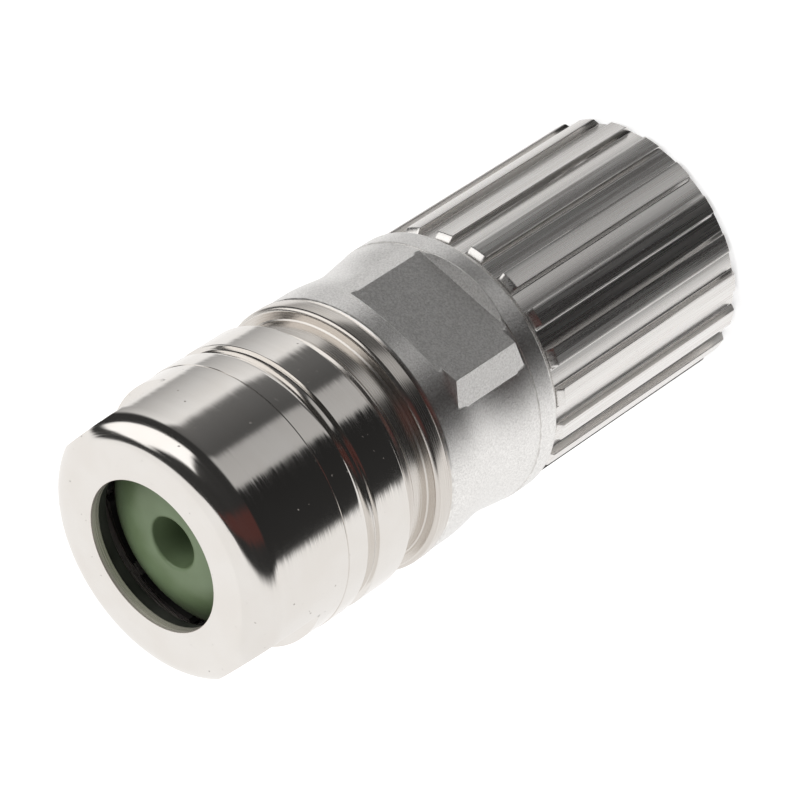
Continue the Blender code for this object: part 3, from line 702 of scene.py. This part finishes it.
def pad_wing():
    """The edge of the flat that stands out, with drafted ends."""
    slope = 1.62 / 2.35
    crown = PAD_FLAT + 0.5
    outline = [
        (-WING_REACH + slope * 0.5, -crown),
        (-WING_REACH - slope * 2.4, -PAD_FLAT + 2.4),
        (-WING_REACH + 0.5, -PAD_ROOT + 2.0),
        (-WING_REACH / 2, -PAD_ROOT),
        (-WING_REACH / 2, -crown),
    ]
    bm = bmesh.new()
    face = bm.faces.new([bm.verts.new((x * MM, y * MM, PAD_FOOT * MM)) for x, y in outline])
    grown = bmesh.ops.extrude_face_region(bm, geom=[face])
    lifted = [item for item in grown["geom"] if isinstance(item, bmesh.types.BMVert)]
    bmesh.ops.translate(bm, verts=lifted, vec=(0.0, 0.0, (PAD_TOP - PAD_FOOT) * MM))
    for vert in bm.verts:
        draft = 0.55 * max(0.0, (-vert.co.y / MM - PAD_FLAT + 2.35) / 2.35) * MM
        vert.co.z += -draft if vert in lifted else draft
    bmesh.ops.recalc_face_normals(bm, faces=bm.faces)
    return bm


def pad_mill():
    """The cutter for a flat: its end walls lean outwards."""
    bm = bmesh.new()
    bmesh.ops.create_cube(bm, size=1.0)
    for vert in bm.verts:
        depth = 4.0 if vert.co.y < 0 else 0.0
        half = (PAD_TOP - PAD_FOOT) / 2 + depth / 2
        vert.co = Vector((
            vert.co.x * 2 * BODY_RADIUS, -PAD_FLAT - depth,
            waist_middle + math.copysign(half, vert.co.z),
        )) * MM
    return bm


# %% Join and mill the pads
pad_steps = []
for side in (0.0, 180.0):
    pad_steps.append(("UNION", turned_about_axis(pad_sector(), side)))
    pad_steps.append(("UNION", turned_about_axis(pad_wing(), side)))
for side in (0.0, 180.0):
    pad_steps.append(("DIFFERENCE", turned_about_axis(pad_mill(), side)))
housing = joined_with(housing, "housing_blank", pad_steps)
print("housing faces after milling:", len(housing.faces))

# %% [markdown]
# Blasting leaves the edges a little round, and handling rubs them bright.
# The bevel gives back its new faces, so they can take the bright finish by themselves.
# The thread and the flange above the body are turned bright too.

# %% Round and assign the housing's finishes
bmesh.ops.remove_doubles(housing, verts=housing.verts, dist=0.03 * MM)
bmesh.ops.dissolve_limit(
    housing, angle_limit=math.radians(0.2), use_dissolve_boundaries=False,
    verts=housing.verts, edges=housing.edges,
)


def ring_edge(edge):
    """True for an edge that runs round the axis, above or below the pads."""
    first, last = (vert.co for vert in edge.verts)
    level = abs(first.z - last.z) < 0.01 * MM
    round_axis = abs(first.xy.length - last.xy.length) < 0.02 * MM
    clear = abs(first.z / MM - waist_middle) > (PAD_TOP - PAD_FOOT) / 2 + 0.7
    return edge.is_convex and level and round_axis and clear


def pad_edge(edge):
    """True for an outer edge of a pad."""
    return edge.is_convex and not ring_edge(edge)


worn_edges = soften(housing, 0.055, 2, 28.0, pad_edge, clamp=False)
worn_edges += soften(housing, 0.12, 2, 28.0, ring_edge, clamp=False)
for face in worn_edges:
    if face.is_valid:
        face.material_index = 2
for face in housing.faces:
    if face.calc_center_median().z > (FLANGE_FOOT - 0.1) * MM:
        face.material_index = 1
housing_piece = finished(housing, "housing_skin", "housing", ["housing"])
housing_piece.data.materials.append(blasted_nickel)
housing_piece.data.materials.append(satin_nickel)
housing_piece.data.materials.append(rubbed_nickel)

# %% [markdown]
# ## The threads
#
# A thread is a ridge that climbs by its pitch at each turn. The spin operator climbs too:
# its dvec moves each step along the axis. The gland thread is on the outside of the tube,
# and the coupling thread stands inwards in the coupling nut.

# %% Helper that winds a thread
def thread(radius, height, foot, top, pitch, width, steps=96):
    """A ridge wound from foot to top; a negative height points inwards."""
    turns = (top - foot) / pitch
    count = int(turns * steps)
    root = radius - math.copysign(0.1, height)
    crest = radius + height
    half = width / 2
    profile = [
        (root, -half), (radius, -half), (crest, -half * 0.25),
        (crest, half * 0.25), (radius, half), (root, half),
    ]
    bm = bmesh.new()
    points = [bm.verts.new((r * MM, 0.0, (foot + z) * MM)) for r, z in profile]
    face = bm.faces.new(points)
    bmesh.ops.spin(
        bm, geom=[face] + face.edges[:] + points, cent=(0.0, 0.0, 0.0), axis=(0.0, 0.0, 1.0),
        dvec=(0.0, 0.0, pitch / steps * MM), angle=math.tau * turns, steps=count,
    )
    for vert in bm.verts:
        share = (vert.co.z / MM - foot) / (top - foot)
        fade = min(1.0, max(0.0, share) * turns * 4.0, max(0.0, 1.0 - share) * turns * 4.0)
        away = math.hypot(vert.co.x, vert.co.y) / MM - root
        keep = (root + away * max(0.05, fade)) / (root + away)
        vert.co.x *= keep
        vert.co.y *= keep
    bmesh.ops.recalc_face_normals(bm, faces=bm.faces)
    return bm


gland_thread = thread(THREAD_RADIUS, 0.18, 43.7, 53.6, 1.0, 0.62)
turned_about_axis(gland_thread, -75.0)
gland_thread_piece = finished(gland_thread, "gland_thread", "housing", (), 20.0)
gland_thread_piece.data.materials.append(satin_nickel)

coupling_thread = thread(11.0, -0.55, 1.2, 11.6, 1.5, 1.1)
coupling_thread_piece = finished(coupling_thread, "coupling_thread", "coupling_nut", (), 20.0)
coupling_thread_piece.data.materials.append(bright_nickel)

# %% [markdown]
# ## The coupling nut
#
# The nut is turned first, then twenty ribs are left standing between milled grooves.
# In the mesh it is quicker to go the other way: the faces under each rib are extruded
# and moved outwards, and their edges are rounded by one bevel.

# %% Turn the coupling nut
COUPLING_TOP = 25.7
RIB_COUNT = 20
RIB_TURN = 8.0
RIB_RADIUS = 13.0
GROOVE_RADIUS = 12.33
RIB_FOOT = 0.45
RIB_HEAD = 24.8
CELLS_PER_RIB = 13

nut_outline = [
    (GROOVE_RADIUS - 0.4, COUPLING_TOP),
    (GROOVE_RADIUS, COUPLING_TOP - 0.35),
    (GROOVE_RADIUS, RIB_HEAD),
    (GROOVE_RADIUS, 12.0),
    (GROOVE_RADIUS, RIB_FOOT),
    (GROOVE_RADIUS, 0.0),
    (11.6, 0.0),
    (11.0, 0.6),
    (11.0, 12.0),
    (11.6, 12.6),
    (11.6, 22.7),
    (10.25, 22.7),
    (10.25, COUPLING_TOP),
]
coupling = spun(nut_outline, RIB_COUNT * CELLS_PER_RIB)
soften(coupling, 0.1, 2, 30.0, lambda edge: edge.verts[0].co.xy.length < 12.2 * MM)

# %% Raise the ribs
cell = math.tau / (RIB_COUNT * CELLS_PER_RIB)
rib_cells = 6


def under_a_rib(face):
    """True for the outer faces that a rib stands on."""
    middle = face.calc_center_median()
    outside = middle.xy.length > (GROOVE_RADIUS - 0.05) * MM
    along = middle.z < (COUPLING_TOP - 0.35) * MM
    place = int(math.atan2(middle.y, middle.x) % math.tau / cell) % CELLS_PER_RIB
    return outside and along and place < rib_cells


grown = bmesh.ops.extrude_face_region(coupling, geom=[f for f in coupling.faces if under_a_rib(f)])
for item in grown["geom"]:
    if isinstance(item, bmesh.types.BMVert):
        height = item.co.z / MM
        share = 1.0
        if height < RIB_FOOT / 2:
            share = 0.05
        if height > RIB_HEAD + 0.1:
            share = 0.2
        out = 1.0 + (RIB_RADIUS - GROOVE_RADIUS) * share / GROOVE_RADIUS
        item.co.x *= out
        item.co.y *= out
bmesh.ops.recalc_face_normals(coupling, faces=coupling.faces)
rib_edges = soften(
    coupling, 0.13, 2, 40.0,
    lambda edge: min(v.co.xy.length for v in edge.verts) > (GROOVE_RADIUS + 0.1) * MM,
)
turned_about_axis(coupling, RIB_TURN - math.degrees(cell) * rib_cells / 2)
coupling_piece = finished(coupling, "coupling_nut_skin", "coupling_nut", ["coupling_nut"], 35.0)
coupling_piece.data.materials.append(drawn_nickel)

# %% [markdown]
# ## The pieces inside
#
# The insert, its contacts and the rings round them are seen only from the mating end
# or past the seal. Their solids already have the right shape, so they keep it
# and only take a better material.

# %% Finish the inner pieces
inner_finishes = {
    "clamping_cage": black_plastic,
    "shield_ring": bright_nickel,
    "distance_shell_a": natural_plastic,
    "distance_shell_b": natural_plastic,
    "rear_insulator": natural_plastic,
    "contact_carrier": black_plastic,
    "snap_ring": spring_steel,
    "interface_o_ring": black_rubber,
}
for name, node in nodes.items():
    finish = contact_gold if name.startswith("socket_contact") else inner_finishes.get(name)
    if finish is not None:
        for slot in node.material_slots:
            slot.material = finish
print("inner pieces finished:", len(inner_finishes), "and the contacts")

# %% [markdown]
# ## The floor
#
# The socket stands on a plain white sheet. A white sheet in even light is a little grey,
# so its material adds light of its own for the camera and transmission rays.
# The shadow is in the diffuse part, so it stays. Glossy rays pass the sheet by:
# a standing tube seen from above mirrors only the floor, and the nickel should show the tent.

# %% Lay the floor
FLOOR_SIZE = 6.0

floor_bm = bmesh.new()
bmesh.ops.create_grid(floor_bm, x_segments=1, y_segments=1, size=FLOOR_SIZE / 2)
floor = as_object(floor_bm, "floor_sheet")
floor_paint, tree, shader = new_finish("floor_paint", (0.8, 0.8, 0.8), 0.0, 0.9)
path = tree.nodes.new("ShaderNodeLightPath")
shader.inputs["Emission Color"].default_value = (1.0, 1.0, 1.0, 1.0)
seen = calculate(tree, "MAXIMUM", path.outputs["Is Camera Ray"], path.outputs["Is Transmission Ray"])
tree.links.new(calculate(tree, "MULTIPLY", seen, 0.45), shader.inputs["Emission Strength"])
floor.data.materials.append(floor_paint)
floor.visible_glossy = False

# %% [markdown]
# ## The light tent
#
# Bright metal shows only what stands round it. A photographer puts it in a white tent
# with a few dark strips, and the strips draw the edges of its curves.
# The world does this here for glossy rays: white, with dark bands at some azimuths.
# Diffuse rays get plain even light, and the camera gets white.

# %% Build the world
world = bpy.data.worlds.new("light tent")
world.use_nodes = True
bpy.context.scene.world = world
tree = world.node_tree
tree.nodes.clear()
place = tree.nodes.new("ShaderNodeTexCoord").outputs["Generated"]
face_on = tree.nodes.new("ShaderNodeMapping")
face_on.vector_type = "POINT"
face_on.inputs["Rotation"].default_value = (0.0, 0.0, math.radians(-CAMERA_AZIMUTH))
tree.links.new(place, face_on.inputs["Vector"])
split = tree.nodes.new("ShaderNodeSeparateXYZ")
tree.links.new(face_on.outputs[0], split.inputs[0])
ahead, left, up = split.outputs
sideways = calculate(tree, "ARCTAN2", calculate(tree, "MULTIPLY", left, -1.0), ahead)
share = ranged(tree, sideways, 0.0, 1.0, -math.pi, math.pi)

BANDS = (
    (-179, 1.0), (-132, 1.0), (-128, 0.4), (-80, 0.95), (-74, 0.16), (-38, 0.08),
    (-34, 0.46), (-8, 0.52), (-5, 0.02), (56, 0.03), (62, 1.0), (180, 1.0),
)


BROWN_CARD = (12, 30)
BROWN = (0.085, 0.034, 0.03)


def strip_ramp(bands):
    """A colour ramp of grey levels at azimuths from the camera, with a brown card in the dark."""
    ramp = tree.nodes.new("ShaderNodeValToRGB")
    tree.links.new(share, ramp.inputs[0])
    steps = ramp.color_ramp.elements
    steps.remove(steps[-1])
    for azimuth, level in bands:
        step = steps.new(azimuth / 360.0 + 0.5)
        step.color = (level, level * 0.99, level * 0.98, 1.0) if azimuth not in BROWN_CARD else (*BROWN, 1.0)
    steps.remove(steps[0])
    return ramp.outputs[0]


low_tent = strip_ramp(BANDS)
high_tent = strip_ramp((
    (-179, 1.0), (-152, 1.0), (-148, 0.04), (4, 0.03), (12, 0.1), (30, 0.1), (38, 0.03), (58, 0.03),
    (68, 1.0), (180, 1.0),
))
box_tent = strip_ramp((
    (-179, 1.0), (-152, 1.0), (-148, 0.04), (-130, 0.04), (-126, 1.3), (-48, 1.3), (-43, 0.04), (4, 0.03),
    (12, 0.1), (30, 0.1), (38, 0.03), (58, 0.03), (68, 1.0), (180, 1.0),
))


def mixed(colour_a, colour_b, factor):
    """Blend two colour outputs by a factor output."""
    node = tree.nodes.new("ShaderNodeMix")
    node.data_type = "RGBA"
    tree.links.new(factor, node.inputs["Factor"])
    tree.links.new(colour_a, node.inputs[6])
    tree.links.new(colour_b, node.inputs[7])
    return node.outputs[2]


tent = mixed(low_tent, high_tent, ranged(tree, up, 0.0, 1.0, -0.3, -0.2))
in_box = calculate(tree, "MULTIPLY", ranged(tree, up, 0.0, 1.0, 0.2, 0.26), ranged(tree, up, 1.0, 0.0, 0.78, 0.84))
tent = mixed(tent, box_tent, in_box)
roof = strip_ramp(((-179, 1.04), (180, 1.04)))
tent = mixed(tent, roof, ranged(tree, ahead, 1.0, 0.0, -0.74, -0.7))


def background(strength, colour=None):
    """A Background shader in a colour output, or in white."""
    node = tree.nodes.new("ShaderNodeBackground")
    node.inputs["Color"].default_value = (1.0, 1.0, 1.0, 1.0)
    node.inputs["Strength"].default_value = strength
    if colour is not None:
        tree.links.new(colour, node.inputs["Color"])
    return node.outputs[0]


def chosen(factor, otherwise, picked):
    """A Mix Shader that takes picked where the factor is one."""
    node = tree.nodes.new("ShaderNodeMixShader")
    tree.links.new(factor, node.inputs[0])
    tree.links.new(otherwise, node.inputs[1])
    tree.links.new(picked, node.inputs[2])
    return node.outputs[0]


path = tree.nodes.new("ShaderNodeLightPath")
light = chosen(path.outputs["Is Glossy Ray"], background(0.55), background(1.0, tent))
clear = calculate(tree, "MAXIMUM", path.outputs["Is Camera Ray"], path.outputs["Is Transmission Ray"])
light = chosen(clear, light, background(1.0))
output = tree.nodes.new("ShaderNodeOutputWorld")
tree.links.new(light, output.inputs["Surface"])
print("dark bands in the tent:", sum(1 for _, level in BANDS if level < 0.1) // 2)

# %% [markdown]
# ## The lamps
#
# One large soft lamp stands high on the left of the picture and gives the shadow its side.
# A second one fills from the right. Both are weak enough that a grey stays the grey it is.

# %% Place the lamps
def soft_lamp(name, azimuth, elevation, distance, size, power):
    """A square area lamp that looks at the socket."""
    data = bpy.data.lights.new(name, "AREA")
    data.size = size
    data.energy = power
    lamp = bpy.data.objects.new(name, data)
    bpy.context.scene.collection.objects.link(lamp)
    away = direction(azimuth, elevation)
    lamp.location = CAMERA_TARGET + away * distance
    lamp.rotation_euler = away.to_track_quat("Z", "Y").to_euler()
    lamp.visible_glossy = False
    return lamp


key_lamp = soft_lamp("key_lamp", -35.0, 40.0, 0.9, 0.7, 5.0)
fill_lamp = soft_lamp("fill_lamp", 150.0, 60.0, 1.0, 0.9, 4.0)
bpy.context.scene.view_settings.view_transform = "Standard"
